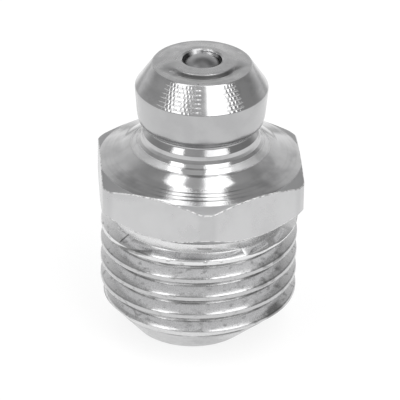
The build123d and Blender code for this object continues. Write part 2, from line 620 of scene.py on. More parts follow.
@dataclass(frozen=True)
class ChatterCone(Finish):
    """Bright plating over a cone that the tool chattered on, in rows of small facets.

    Each bout of chatter runs from one angle to another, in degrees from +X, and has its strength.
    """

    clean: Tone = grey(0.66)
    worn: Tone = grey(0.58)
    stain: Tone = grey(0.42)
    wobble: Noise = (1.3, 3.0)
    clouds: Edges = (0.4, 0.7)
    row_pitch: float = 0.175
    groove: Edges = (0.4, 1.0)
    groove_depth: float = 0.03
    marks_round: float = 92.0
    slant: float = 2.1
    row_wobble: float = 0.5
    mark_wobble: float = 10.0
    depth: float = 0.007
    top: Edges = (14.28, 14.32)
    roughness: float = 0.17
    bouts: tuple[Triple, ...] = ((-131.0, -110.0, 0.7), (-108.0, -93.0, 0.9), (-66.0, -51.0, 1.0))
    bout_ease: float = 4.0
    ring_pitch: float = 0.11
    ring_wander: float = 1.2
    ring_depth: float = 0.003
    smears: Mottle = Mottle(0.9, 3.0, 0.35, 0.65, 0.2, 0.7, 2.0)
    smeared_sides: Edges = (-0.7, -0.4)

    def chatter(self, bench: NodeBench, wobble: Output) -> tuple[Output, Output]:
        """Adds the rows of facets, and the grooves between the rows.

        Args:
            bench: The material under construction.
            wobble: The noise that makes the rows uneven.

        Returns:
            The facets' height and the grooves' height.
        """
        _, angle, height = bench.polar
        level = bench.total(bench.times(height, 1 / self.row_pitch), bench.times(wobble, self.row_wobble))
        slanted = bench.times(bench.math(Op.FLOOR, level), self.slant)
        uneven = bench.times(wobble, self.mark_wobble)
        phase = bench.total(bench.times(angle, self.marks_round), slanted, uneven)
        ease, strength = self.bout_ease, 0.0
        for start, end, share in self.bouts:
            turns = (start - ease, start + ease, end - ease, end + ease)
            strength = bench.total(strength, bench.within(angle, tuple(map(math.radians, turns)), share))
        strength = bench.times(strength, bench.fall(height, *self.top))
        ridge = bench.math(Op.SINE, bench.times(level, 2 * math.pi))
        grooves = bench.times(bench.rise(ridge, *self.groove), strength)
        return bench.times(bench.math(Op.SINE, phase), strength), grooves

    def surface(self, bench: NodeBench) -> Surface:
        """Lays clouds, and smears at the sides, over chatter and faint turning marks.

        Args:
            bench: The material under construction.

        Returns:
            The colour, the roughness and the normal.
        """
        wobble = bench.noise(*self.wobble)
        facets, grooves = self.chatter(bench, wobble)
        marks = (bench.rings(self.ring_pitch, self.ring_wander), self.ring_depth)
        normal = bench.relief((facets, self.depth / 2), marks, (grooves, self.groove_depth))
        smear = bench.times(self.smears.mask(bench), bench.rise(bench.behind(), *self.smeared_sides))
        clouds = (bench.rise(wobble, *self.clouds), self.worn)
        colour = bench.coats(self.clean, clouds, (smear, self.stain))
        return colour, self.roughness, normal


@dataclass(frozen=True)
class ShadeStreak:
    """A line of painted shade on the shank between two points, each an angle in degrees from the front and a
    height in mm.
    """

    start: Pair
    end: Pair
    width: float
    radius: float = 4.5
    side: Edges = (0.3, 0.6)
    ease: float = 0.05

    def mask(self, bench: NodeBench) -> Output:
        """Adds the nodes that say how much of the painted shade lies at a point.

        Args:
            bench: The material under construction.

        Returns:
            The mask's socket, between 0 and 1.
        """
        _, angle, height = bench.polar
        ends = ((math.radians(turn + FRONT) * self.radius, level) for turn, level in (self.start, self.end))
        (first_x, first_z), (last_x, last_z) = ends
        length = math.hypot(last_x - first_x, last_z - first_z)
        cos, sin = (last_x - first_x) / length, (last_z - first_z) / length
        along = bench.math(Op.SUBTRACT, bench.times(angle, self.radius), first_x)
        up = bench.math(Op.SUBTRACT, height, first_z)
        reach = bench.total(bench.times(along, cos), bench.times(up, sin))
        off = bench.math(Op.SIZE, bench.total(bench.times(up, cos), bench.times(along, -sin)))
        inside = bench.fall(off, *(self.width * share for share in self.side))
        window = (-self.ease, self.ease, length - self.ease, length + self.ease)
        return bench.times(inside, bench.within(reach, window))


@dataclass(frozen=True)
class RolledThread(Finish):
    """Plating over a thread: pale flanks and a paler run-out as painted light, a grimy root with painted
    shade, painted dark reflection on one side, lines of painted shade, specks and worn crests.

    Radii and heights are in mm, the painted dark side's limits in degrees from the front and their ease in
    radians, and the painted dark flank's window in pitches above the groove.
    """

    # The flanks are painted paler than the crests: painted light that makes up for what they lose reflecting
    # off each other
    flank: Tone = grey(0.69)
    # Paler towards the run-out: painted light
    runout_painted_light: Tone = grey(0.79)
    crest: Tone = grey(0.56)
    grime_and_shade: Tone = grey(0.2, 0.0)
    root: Edges = (4.31, 4.41)
    worn: Edges = (4.76, 4.84)
    phase: float = 0.7
    top: Edges = (6.0, 6.2)
    runout_rise: Edges = (5.2, 6.0)
    # The dark patches on one side's flanks are painted dark reflection
    painted_dark_side: Edges = (34.0, 64.0)
    side_ease: float = 0.15
    painted_dark_flank: Window = (0.4, 0.55, 0.78, 0.88)
    painted_dark_foot: Edges = (1.2, 2.2)
    painted_dark: Mottle = Mottle(0.9, 3.0, 0.49, 0.59, 0.0, 0.75, 1.3)
    root_grime_and_shade: Mottle = Mottle(1.1, 5.0, 0.4, 0.6, 0.25, 0.85, 2.2)
    uneven: Mottle = Mottle(1.1, 5.0, 0.35, 0.6, 0.5, 1.0, 2.2)
    specks: Mottle = Mottle(2.4, 3.0, 0.57, 0.7, 0.0, 0.5, 2.6)
    scuff: Noise = (4.0, 3.0, 2.0)
    waves: Noise = (0.7, 1.0)
    relief_depth: float = 0.012
    sheen: Ramp = (0.3, 0.75, 0.14, 0.24)
    unworn_dull: float = 0.08
    # Lines of painted shade: the groove's start in shadow, a dark tick at the first thread's step, and
    # shadowed lines under the hexagon
    shade_streaks: tuple[ShadeStreak, ...] = (
        ShadeStreak((-60.0, 5.6), (-29.0, 6.05), 0.22),
        ShadeStreak((-53.0, 5.95), (-52.5, 6.25), 0.1, 4.8),
        ShadeStreak((-1.0, 6.47), (8.5, 6.44), 0.1),
        ShadeStreak((44.0, 5.95), (74.0, 5.98), 0.1),
    )

    def dirt_and_shade(self, bench: NodeBench) -> Output:
        """Adds grimy painted shade low in the groove, painted dark reflection on one side's flanks, the lines
        of painted shade and the specks.

        Args:
            bench: The material under construction.

        Returns:
            The socket of how much soiling and painted shade covers a point.
        """
        radius, angle, height = bench.polar
        below = bench.fall(height, *self.top)
        # Grimy painted shade low in the thread's root
        low = bench.times(bench.fall(radius, *self.root), below, self.root_grime_and_shade.mask(bench))
        # Painted dark reflection on the flanks of one side
        start, end = (math.radians(turn + FRONT) for turn in self.painted_dark_side)
        side = bench.within(angle, (start, start + self.side_ease, end - self.side_ease, end))
        turn = bench.math(Op.FRACTION, bench.total(height, -self.phase, bench.times(angle, -0.5 / math.pi)))
        flank = bench.within(turn, self.painted_dark_flank)
        painted_dark_patch = bench.times(self.painted_dark.mask(bench), bench.rise(height, *self.painted_dark_foot))
        uneven = self.uneven.mask(bench)
        layers = [low, bench.times(side, flank, painted_dark_patch, below)]
        layers += [bench.times(shade_streak.mask(bench), uneven) for shade_streak in self.shade_streaks]
        layers += [bench.times(self.specks.mask(bench), below)]
        return reduce(partial(bench.math, Op.MOST), layers)

    def surface(self, bench: NodeBench) -> Surface:
        """Lays worn crests painted darker than the flanks, the paler run-out as painted light, and the
        soiling and painted shade over the flanks.

        Args:
            bench: The material under construction.

        Returns:
            The colour, the roughness and the normal.
        """
        radius, _, height = bench.polar
        # Worn crests: scuffed, and painted darker than the flanks so that the two catch light alike
        worn = bench.rise(radius, *self.worn)
        scuff, waves = bench.noise(*self.scuff), bench.noise(*self.waves)
        normal = bench.relief((waves, self.relief_depth), (bench.times(scuff, worn), self.relief_depth))
        # Painted light: paler towards the run-out
        runout_painted_light = (bench.rise(height, *self.runout_rise), self.runout_painted_light)
        colour = bench.coats(self.flank, (worn, self.crest), runout_painted_light, (self.dirt_and_shade(bench), self.grime_and_shade))
        unworn = bench.times(bench.math(Op.SUBTRACT, 1.0, worn), self.unworn_dull)
        return colour, bench.total(bench.span(scuff, *self.sheen), unworn), normal


@dataclass(frozen=True)
class DrawnFlat(Finish):
    """Smooth plating over the flats of drawn hexagon bar, duller at the corners."""

    clean: Tone = grey(0.6)
    worn: Tone = grey(0.55)
    blunt: Tone = grey(0.47)
    clouds: Mottle = Mottle(0.6, 4.0, 0.4, 0.8)
    sheen: Mottle = Mottle(0.6, 4.0, 0.3, 0.7, 0.2, 0.3)
    corner: Ramp = (5.38, 5.52, 0.0, 0.4)
    lines: Noise = (6.0, 2.0, 0.12)
    line_depth: float = 0.002
    dents: Noise = (0.8, 2.0)
    dent_depth: float = 0.01

    def surface(self, bench: NodeBench) -> Surface:
        """Lays soft clouds and dull corners over faint draw lines and shallow dents.

        Args:
            bench: The material under construction.

        Returns:
            The colour, the roughness and the normal.
        """
        dents = (bench.noise(*self.dents), self.dent_depth)
        normal = bench.relief(dents, (bench.noise(*self.lines), self.line_depth))
        corner = bench.span(bench.polar[0], *self.corner)
        colour = bench.coats(self.clean, (self.clouds.mask(bench), self.worn), (corner, self.blunt))
        return colour, self.sheen.mask(bench), normal


@dataclass(frozen=True)
class BurredEdge(Finish):
    """Bright broken burr along an edge, as milling leaves it under the plating, its brightness painted on as
    highlights.
    """

    # Painted highlight along the edge
    bright: Tone = grey(0.82, 0.0)
    dull: Tone = grey(0.5)
    gaps: Mottle = Mottle(5.0, 3.0, 0.48, 0.6)
    roughness: float = 0.45
    chips: Noise = (7.0, 3.0)
    chip_depth: float = 0.03

    def surface(self, bench: NodeBench) -> Surface:
        """Lays a row of tiny bright chips, painted as highlights, between duller gaps.

        Args:
            bench: The material under construction.

        Returns:
            The colour, the roughness and the normal.
        """
        colour = bench.coats(self.bright, (self.gaps.mask(bench), self.dull))
        return colour, self.roughness, bench.relief((bench.noise(*self.chips), self.chip_depth))


@dataclass(frozen=True)
class PolishedBall(Finish):
    """Ground and polished bearing-ball steel with faint smears and a spot of old grease, which is also
    painted dark reflection in the ball's middle.
    """

    clean: Tone = grey(0.42)
    film: Tone = grey(0.32)
    # Old grease, and painted dark reflection in the ball's middle
    grease: Tone = grey(0.15, 0.002)
    spot: Pair = (0.12, -0.5)
    spot_edges: Edges = (0.45, 0.95)
    spot_squash: float = 2.0
    spot_wobble: float = 0.4
    smears: Noise = (2.2, 4.0)
    smear: Edges = (0.4, 0.7)
    sheen: Ramp = (0.35, 0.7, 0.38, 0.48)
    grind: Noise = (9.0, 2.0)
    grind_depth: float = 0.003

    def surface(self, bench: NodeBench) -> Surface:
        """Lays smears and a spot of grease, partly painted dark reflection, over a fine grind.

        Args:
            bench: The material under construction.

        Returns:
            The colour, the roughness and the normal.
        """
        smear = bench.noise(*self.smears)
        place = [bench.times(part, 1 / MM) for part in bench.split(bench.point)[:2]]
        across, along = (bench.math(Op.SUBTRACT, part, middle) for part, middle in zip(place, self.spot))
        square = bench.total(bench.times(across, across), bench.times(along, along, self.spot_squash))
        uneven = bench.total(bench.math(Op.ROOT, square), bench.times(smear, self.spot_wobble))
        grease = (bench.fall(uneven, *self.spot_edges), self.grease)
        colour = bench.coats(self.clean, (bench.rise(smear, *self.smear), self.film), grease)
        normal = bench.relief((bench.noise(*self.grind), self.grind_depth))
        return colour, bench.span(smear, *self.sheen), normal


@dataclass(frozen=True)
class SpringWire(Finish):
    """Hard-drawn spring wire with uneven tone and lengthwise drawing marks."""

    clean: Tone = grey(0.44, 0.01)
    worn: Tone = grey(0.3, 0.01)
    marks: Noise = (7.0, 3.0, 2.0)
    wear: Edges = (0.35, 0.7)
    sheen: Ramp = (0.3, 0.7, 0.26, 0.4)
    mark_depth: float = 0.004

    def surface(self, bench: NodeBench) -> Surface:
        """Lays an uneven tone over drawing marks.

        Args:
            bench: The material under construction.

        Returns:
            The colour, the roughness and the normal.
        """
        marks = bench.noise(*self.marks)
        colour = bench.coats(self.clean, (bench.rise(marks, *self.wear), self.worn))
        return colour, bench.span(marks, *self.sheen), bench.relief((marks, self.mark_depth))


def dress(piece: bpy.types.Object, finishes: list[Finish]) -> None:
    """Gives a piece its materials, in slot order.

    Args:
        piece: The piece's object.
        finishes: The finish of each slot.
    """
    for finish in finishes:
        piece.data.materials.append(finish.material())


@dataclass(frozen=True)
class Corner:
    """A corner of a turned profile: radius and height in mm, its rounding, and the zone that follows it."""

    radius: float
    height: float
    rounding: float
    zone: Zone


def corner_run(sizes: tuple[Triple, ...], zone: Zone, out: float = 0.0, up: float = 0.0) -> list[Corner]:
    """Gives corners of one zone from their radii, heights and roundings, moved outwards and up."""
    return [Corner(radius + out, height + up, rounding, zone) for radius, height, rounding in sizes]


def round_corners(corners: tuple[Corner, ...], steps: int = 4) -> list[tuple[float, float, Zone]]:
    """Turns a profile's corners into points, with an arc at each corner that has a rounding.

    Args:
        corners: The profile in order.
        steps: Points on each arc.

    Returns:
        Radius, height and zone of each point.
    """
    points: list[tuple[float, float, Zone]] = []
    for index, corner in enumerate(corners):
        here = np.array([corner.radius, corner.height])
        if corner.rounding == 0 or index in (0, len(corners) - 1):
            points.append((corner.radius, corner.height, corner.zone))
            continue
        before, after = corners[index - 1], corners[index + 1]
        back = np.array([before.radius, before.height]) - here
        ahead = np.array([after.radius, after.height]) - here
        reach_back, reach_ahead = np.linalg.norm(back), np.linalg.norm(ahead)
        back, ahead = back / reach_back, ahead / reach_ahead
        half = math.acos(float(np.clip(back @ ahead, -1, 1))) / 2
        cut = min(corner.rounding / math.tan(half), ARC_SHARE * reach_back, ARC_SHARE * reach_ahead)
        radius = cut * math.tan(half)
        middle = here + (back + ahead) / np.linalg.norm(back + ahead) * radius / math.sin(half)
        start, end = here + back * cut - middle, here + ahead * cut - middle
        turn = math.acos(float(np.clip(start @ end / radius**2, -1, 1)))
        for step in range(steps):
            share = step / (steps - 1)
            spoke = (math.sin((1 - share) * turn) * start + math.sin(share * turn) * end) / math.sin(turn)
            zone = corner.zone if 2 * step >= steps else before.zone
            points.append((*map(float, middle + spoke), zone))
    return points


def soft_least(first: np.ndarray, second: np.ndarray | float, blend: float) -> np.ndarray:
    """Gives the lesser of two surfaces with a rounded edge where they cross.

    Args:
        first: The first surface's radii.
        second: The second surface's radii, or its radius.
        blend: Width of the rounding, in mm.

    Returns:
        The rounded lesser radii.
    """
    share = np.clip(0.5 + 0.5 * (second - first) / blend, 0, 1)
    return second + (first - second) * share - blend * share * (1 - share)


def mesh_object(name: str, points: np.ndarray, faces: list[Face], zones: list[int]) -> bpy.types.Object:
    """Makes a smooth-shaded object from points and faces, without doubled points.

    Args:
        name: The object's name.
        points: The points in metres.
        faces: Each face's point numbers.
        zones: Each face's material slot.

    Returns:
        The new object.
    """
    keys = np.round(points / WELD).astype(np.int64)
    _, first, merged = np.unique(keys, axis=0, return_index=True, return_inverse=True)
    merged = merged.reshape(-1)
    kept_faces: list[list[int]] = []
    kept_zones: list[int] = []
    for face, zone in zip(faces, zones):
        loop = [int(merged[corner]) for corner in face]
        loop = [corner for place, corner in enumerate(loop) if corner != loop[place - 1]]
        if len(set(loop)) == len(loop) and len(loop) > 2:
            kept_faces.append(loop)
            kept_zones.append(zone)
    mesh = bpy.data.meshes.new(name)
    mesh.from_pydata([tuple(map(float, point)) for point in points[first]], [], kept_faces)
    mesh.polygons.foreach_set("use_smooth", [True] * len(mesh.polygons))
    mesh.polygons.foreach_set("material_index", kept_zones)
    mesh.validate()
    mesh.update()
    made = bpy.data.objects.new(name, mesh)
    bpy.context.scene.collection.objects.link(made)
    return made


@dataclass
class Fitting:
    """The turned steel body: end, thread, hexagon, neck, head and valve bore, in mm and degrees.

    Corners given as three numbers are a radius, a height and a rounding. The neck's foot has its heights from
    the end of the flare, and the lip and the inlet's edge are given from the inlet and the top of the boss.
    The wall of the boss is given as rings from its foot inwards: the share of the slope that a ring has gone
    down at the sides and the back, its distance outside the wall in front, and the share gone down there.
    """

    columns: int = 448
    bore_radius: float = 1.45
    mouth_radius: float = 1.0
    crimp_thickness: float = 0.45
    crimp_top: float = 0.85
    crimp_rounding: float = 0.1
    mouth_rounding: float = 0.12
    stake_radius: float = 1.85
    stake_half: float = 0.3
    stake_depth: float = 0.3
    stake_edge_rounding: float = 0.05
    stake_floor_rounding: float = 0.06
    nose_radius: float = 2.8
    nose_rounding: float = 0.3
    nose_shift: float = 0.31
    end_height: float = 0.9
    cone_height: float = 1.4
    cone_top: float = 2.06
    shift_from: float = 2.2
    shift_ease: float = 0.3
    thread_bottom: float = 1.45
    thread_radius: float = 4.86
    thread_pitch: float = 1.0
    thread_depth: float = 0.55
    root_half_width: float = 0.065
    flank_angle: float = 30.0
    thread_phase: float = 0.70
    thread_rows: tuple[float, ...] = (0.12, 0.22, 0.33)
    crest_row: float = 0.44
    row_digits: int = 4
    row_slack: float = 0.001
    crest_rounding: float = 0.05
    cone_rounding: float = 0.06
    ramp_rounding: float = 0.04
    shank_length: float = 7.0
    relief_radius: float = 4.31
    relief_bottom: float = 6.2
    relief_ramp: float = 0.05
    groove_rounding: float = 0.08
    lap: float = 0.04
    across_flats: float = 9.85
    corner_radius: float = 5.53
    corner_blend: float = 0.09
    burr_width: float = 0.038
    burr_bend: float = 0.2
    burr_top_bend: float = 0.25
    burr_end: float = 1.2
    burr_rise: float = 0.8
    foot_radius: float = 4.88
    foot_angle: float = 40.0
    foot_rows: tuple[float, ...] = (0.04, 0.35, 0.7)
    foot_lift: float = 0.006
    burr_lift: float = 0.004
    hex_top: float = 8.96
    top_angle: float = 23.2
    top_rows: tuple[float, ...] = (0.3, 0.6)
    hex_turn: float = 4.3
    flare_radius: float = 4.6
    flare_lap: float = 0.06
    top_lap: float = 0.08
    bend_radius: float = 3.95
    bend_rounding: float = 1.6
    flare_angle: float = 32.0
    neck_foot: tuple[Triple, ...] = (
        (3.38, 0.0, 0.02), (3.34, -0.015, 0.02), (3.23, 0.09, 0.03), (3.16, 0.18, 0.04),
    )
    ridges: tuple[Triple, ...] = ((2.94, 10.33, 0.06), (2.88, 10.52, 0.06), (2.86, 10.73, 0.06))
    groove: tuple[Triple, ...] = ((2.66, 10.98, 0.16), (2.63, 11.12, 0.1))
    heel: tuple[Triple, ...] = (
        (2.96, 11.25, 0.15), (3.07, 11.44, 1.0), (3.115, 11.63, 2.0), (3.15, 11.9, 4.0), (3.25, 12.98, 0.2),
    )
    head_radius: float = 3.25
    head_edge: float = 13.16
    face_radius: float = 2.42
    edge_rounding: float = 0.12
    head_flat: float = 14.37
    boss_radius: float = 1.7
    boss_height: float = 0.25
    boss_ends: float = 0.12
    boss_full: float = 0.64
    boss_lean: float = 8.0
    slope_radius: float = 1.3
    slope_width: float = 0.95
    boss_wall: tuple[Triple, ...] = (
        (1.0, 0.2, 1.0), (0.93, 0.05, 0.99), (0.86, 0.02, 0.94), (0.75, 0.01, 0.83),
        (0.5, 0.0, 0.58), (0.25, -0.01, 0.34), (0.14, -0.03, 0.24), (0.07, -0.07, 0.19), (0.0, -0.2, 0.14),
    )
    boss_top: float = 1.2
    inlet_radius: float = 0.87
    lip: tuple[Triple, ...] = ((0.18, 0.0, 0.02),)
    inlet_edge: tuple[Triple, ...] = ((0.1, -0.06, 0.03), (0.02, -0.2, 0.04))
    seat_top: float = 14.4
    seat_bottom: float = 13.709
    seat_rounding: float = 0.03
    bore_rounding: float = 0.05
    rows: list[tuple[np.ndarray, np.ndarray, Zone]] = field(default_factory=list)

    def angles(self) -> np.ndarray:
        """Returns the angle of each column round the axis, in radians."""
        return np.arange(self.columns) * 2 * np.pi / self.columns

    def ring(self, radius: np.ndarray | float, height: np.ndarray | float, zone: Zone) -> None:
        """Adds one ring of the mesh.

        Args:
            radius: The ring's radius in mm, one value or one per column.
            height: Its height in mm, one value or one per column.
            zone: The zone of the faces between this ring and the next.
        """
        even = np.ones(self.columns)
        self.rows.append((even * radius, even * height, zone))

    def turned(self, *corners: Corner) -> None:
        """Adds the rings of a turned profile, given by its corners in order."""
        for radius, height, zone in round_corners(corners):
            self.ring(radius, height, zone)

    def end_face(self) -> None:
        """Adds the crimped mouth, the end face with its pressed ring groove, and the nose cone."""
        self.turned(
            Corner(self.bore_radius, self.crimp_top, 0.0, Zone.BORE),
            Corner(self.mouth_radius, self.crimp_thickness, self.crimp_rounding, Zone.BORE),
            Corner(self.mouth_radius, 0.0, self.mouth_rounding, Zone.END),
            Corner(self.stake_radius - self.stake_half, 0.0, self.stake_edge_rounding, Zone.END),
            Corner(self.stake_radius, self.stake_depth, self.stake_floor_rounding, Zone.END),
            Corner(self.stake_radius + self.stake_half, 0.0, self.stake_edge_rounding, Zone.END),
            Corner(self.nose_radius, 0.0, self.nose_rounding, Zone.END),
            Corner(self.nose_radius + self.end_height, self.end_height, 0.0, Zone.END),
            Corner(self.nose_radius + self.cone_height, self.cone_height, 0.0, Zone.THREAD),
        )

    def thread_surface(self, height: np.ndarray) -> np.ndarray:
        """Gives the radius of the threaded shank.

        Args:
            height: Height of each column's point in mm.

        Returns:
            The radius at those heights, in mm.
        """
        groove = height - self.thread_phase - self.thread_pitch * self.angles() / (2 * np.pi)
        off = np.abs((groove / self.thread_pitch + 0.5) % 1.0 - 0.5) * self.thread_pitch
        flank = (off - self.root_half_width) / math.tan(math.radians(self.flank_angle))
        flank = self.thread_radius - self.thread_depth + np.maximum(flank, 0)
        crest = soft_least(flank, self.thread_radius, self.crest_rounding)
        coned = soft_least(crest, self.nose_radius + height, self.cone_rounding)
        ramp = self.relief_radius + (self.relief_bottom - height) * self.thread_depth / self.relief_ramp
        return soft_least(coned, ramp, self.ramp_rounding)

    def thread(self) -> list[tuple[int, int]]:
        """Adds the helical rows of the thread, which follow the groove round the shank.

        Returns:
            Pairs of a row and the row that it joins a full turn later, across the seam.
        """
        low, high = self.thread_bottom, self.relief_bottom
        root = self.root_half_width
        flank = self.thread_depth * math.tan(math.radians(self.flank_angle))
        crest = round(root + flank, self.row_digits)
        above = [root, *self.thread_rows, crest, self.crest_row]
        steps = [-self.thread_pitch / 2, *(-step for step in reversed(above)), 0, *above]
        start = math.floor(low) - 2 + self.thread_phase
        heights = [start + turn + step for turn in range(math.ceil(high - low) + 3) for step in steps]
        top = high + self.row_slack
        kept = [height for height in heights if height + self.thread_pitch > low and height < top]
        climb = self.thread_pitch * self.angles() / (2 * np.pi)
        first = len(self.rows)
        for height in [min(kept) - self.thread_pitch / 2 + self.crest_row, *kept]:
            level = np.clip(height + climb, low, high)
            self.rows.append((self.thread_surface(level), level, Zone.THREAD))
        last = len(self.rows)
        self.ring(self.relief_radius, high, Zone.THREAD)
        return [(row, min(row + len(steps), last)) for row in range(first, last + 1)]

    def hexagon(self) -> None:
        """Adds the relief groove, the underside, the six flats with their turned corners and the cone."""
        self.turned(
            Corner(self.relief_radius, self.relief_bottom + self.lap, 0.0, Zone.THREAD),
            Corner(self.relief_radius, self.shank_length, self.groove_rounding, Zone.SHOULDER),
            Corner(self.foot_radius - self.lap, self.shank_length, 0.0, Zone.SHOULDER),
        )
        corner = math.radians(self.hex_turn + FRONT)
        from_flat = (self.angles() - corner) % (math.pi / 3) - math.pi / 6
        flat = self.across_flats / 2 / np.cos(from_flat)
        wall = soft_least(flat, self.corner_radius, self.corner_blend)
        rise, fall = math.tan(math.radians(self.foot_angle)), math.tan(math.radians(self.top_angle))
        low = self.shank_length + (wall - self.foot_radius) * rise
        high = self.hex_top + (self.corner_radius - wall) * fall
        for share in self.foot_rows:
            radius = self.foot_radius + (wall - self.foot_radius) * share
            foot = self.shank_length + (radius - self.foot_radius) * rise
            self.ring(radius, foot + self.foot_lift, Zone.SHOULDER)
        # A burr breaks each edge of the flats: rings at shares of its width, on both sides of the edge
        edge = self.burr_width
        bend, top_bend, end = edge * self.burr_bend, edge * self.burr_top_bend, edge * self.burr_end
        self.ring(wall - edge, low - edge * rise + self.burr_lift, Zone.BURR)
        self.ring(wall - bend, low + bend, Zone.BURR)
        self.ring(wall, low + end, Zone.HEXAGON)
        self.ring(wall, (low + high) / 2, Zone.HEXAGON)
        self.ring(wall, high - end, Zone.BURR)
        self.ring(wall - top_bend, high - top_bend, Zone.BURR)
        self.ring(wall - end, high + edge * self.burr_rise * fall, Zone.SHOULDER)
        for share in self.top_rows:
            radius = wall + (self.flare_radius + self.top_lap - wall) * share
            self.ring(radius, self.hex_top + (self.corner_radius - radius) * fall, Zone.SHOULDER)

    def neck_and_head(self) -> None:
        """Adds the flare, the ridges, the groove, the head, the flat face, the inlet and the bore."""
        fall, steep = math.tan(math.radians(self.top_angle)), math.tan(math.radians(self.flare_angle))
        flare = self.hex_top + (self.corner_radius - self.flare_radius) * fall
        bend = self.hex_top + (self.corner_radius - self.bend_radius) * fall
        foot = bend + (self.bend_radius - self.neck_foot[0][0]) * steep
        lap, boss = self.flare_lap, self.head_flat + self.boss_height
        self.turned(
            Corner(self.flare_radius + lap, flare - lap * fall, 0.0, Zone.SHOULDER),
            Corner(self.flare_radius, flare, 0.0, Zone.SHOULDER),
            Corner(self.bend_radius, bend, self.bend_rounding, Zone.SHOULDER),
            *corner_run(self.neck_foot, Zone.SHOULDER, up=foot),
            *corner_run(self.ridges, Zone.NECK),
            *corner_run(self.groove, Zone.NECK),
            *corner_run(self.heel, Zone.BAND),
            Corner(self.head_radius, self.head_edge, self.edge_rounding, Zone.CONE),
            Corner(self.face_radius, self.head_flat, self.edge_rounding, Zone.FACE),
            Corner(self.face_radius - self.edge_rounding, self.head_flat, 0.0, Zone.FACE),
        )
        front = self.boss_front()
        for share, distance, fallen in self.boss_wall:
            sloped = self.slope_radius + share * self.slope_width
            radius = sloped + (self.boss_radius + distance - sloped) * front
            self.ring(radius, boss - self.boss_height * (share + (fallen - share) * front), Zone.FACE)
        self.turned(
            Corner(self.boss_top, boss, 0.0, Zone.FACE),
            *corner_run(self.lip, Zone.FACE, self.inlet_radius, boss),
            *corner_run(self.inlet_edge, Zone.BORE, self.inlet_radius, boss),
            Corner(self.inlet_radius, self.seat_top, self.seat_rounding, Zone.BORE),
            Corner(self.bore_radius, self.seat_bottom, self.bore_rounding, Zone.BORE),
            Corner(self.bore_radius, self.shank_length, 0.0, Zone.BORE),
        )

    def boss_front(self) -> np.ndarray:
        """Returns how upright the wall of the boss stands at each column, from 0 to 1."""
        forward = -np.sin(self.angles() - math.radians(self.boss_lean))
        share = np.clip((forward - self.boss_ends) / (self.boss_full - self.boss_ends), 0, 1)
        return share**2 * (3 - 2 * share)

    def place(self, radius: np.ndarray, height: np.ndarray) -> np.ndarray:
        """Gives the points of one ring, with the end cone a little out of true.

        Args:
            radius: Radius per column in mm.
            height: Height per column in mm.

        Returns:
            The points in metres.
        """
        angle = self.angles()
        outside = np.clip((radius - self.shift_from) / self.shift_ease, 0, 1)
        off = self.nose_shift * np.clip(1 - height / self.cone_top, 0, 1) * outside
        return np.stack([radius * np.cos(angle) - off, radius * np.sin(angle), height], -1) * MM

    def dress(self, piece: bpy.types.Object) -> None:
        """Gives the body a finish for each zone.

        Args:
            piece: The body's object.
        """
        sheen = Mottle(0.9, 4.0, 0.3, 0.7, 0.1, 0.18)
        finishes = {
            Zone.END: TurnedPlate("plated_end", grey(0.5), grey(0.42), mark_depth=0.01),
            Zone.THREAD: RolledThread("plated_thread"),
            Zone.HEXAGON: DrawnFlat("plated_hexagon"),
            Zone.SHOULDER: TurnedShoulder("plated_shoulder"),
            Zone.NECK: TurnedPlate("plated_neck", grey(0.54), grey(0.44), mark_depth=0.005, sheen=sheen),
            Zone.BAND: TurnedPlate("plated_band", grey(0.49), grey(0.46), mark_pitch=0.2, mark_depth=0.003),
            Zone.CONE: ChatterCone("plated_cone"),
            Zone.FACE: ScuffedFace("plated_face"),
            Zone.BORE: ReamedInlet("plated_bore"),
            Zone.BURR: BurredEdge("plated_burr"),
        }
        dress(piece, [finishes[zone] for zone in Zone])

    def build(self) -> bpy.types.Object:
        """Builds the body's mesh and dresses it.

        Returns:
            The body's object.
        """
        self.end_face()
        seam = dict(self.thread())
        self.hexagon()
        self.neck_and_head()
        points = np.concatenate([self.place(radius, height) for radius, height, _ in self.rows])
        count, columns = len(self.rows), self.columns
        faces: list[Face] = []
        for row in range(count):
            above = (row + 1) % count
            for column in range(columns - 1):
                left, up_left = row * columns + column, above * columns + column
                faces.append((left, left + 1, up_left + 1, up_left))
            right, up_right = seam.get(row, row) * columns, seam.get(above, above) * columns
            faces.append(((row + 1) * columns - 1, right, up_right, (above + 1) * columns - 1))
        zones = [zone.value for _, _, zone in self.rows for _ in range(columns)]
        made = mesh_object("fitting_body", points, faces, zones)
        self.dress(made)
        return made


@dataclass
class CheckBall:
    """The steel ball that closes the inlet, in mm."""

    radius: float = 1.19
    centre: float = 13.554
    rings: int = 48
    columns: int = 96

    def build(self) -> bpy.types.Object:
        """Builds the ball's mesh and dresses it.

        Returns:
            The ball's object.
        """
        points = [(0.0, 0.0, self.centre - self.radius)]
        for ring in range(1, self.rings):
            tilt = math.pi * ring / self.rings
            reach, height = self.radius * math.sin(tilt), self.centre - self.radius * math.cos(tilt)
            for column in range(self.columns):
                turn = 2 * math.pi * column / self.columns
                points.append((reach * math.cos(turn), reach * math.sin(turn), height))
        points.append((0.0, 0.0, self.centre + self.radius))
        faces: list[Face] = []
        for column in range(self.columns):
            beside = (column + 1) % self.columns
            faces.append((0, 1 + beside, 1 + column))
            for ring in range(self.rings - 2):
                low = 1 + ring * self.columns
                high = low + self.columns
                faces.append((low + column, low + beside, high + beside, high + column))
            top = 1 + (self.rings - 2) * self.columns
            faces.append((top + column, top + beside, len(points) - 1))
        made = mesh_object("ball", np.array(points) * MM, faces, [0] * len(faces))
        dress(made, [PolishedBall("polished_ball")])
        return made


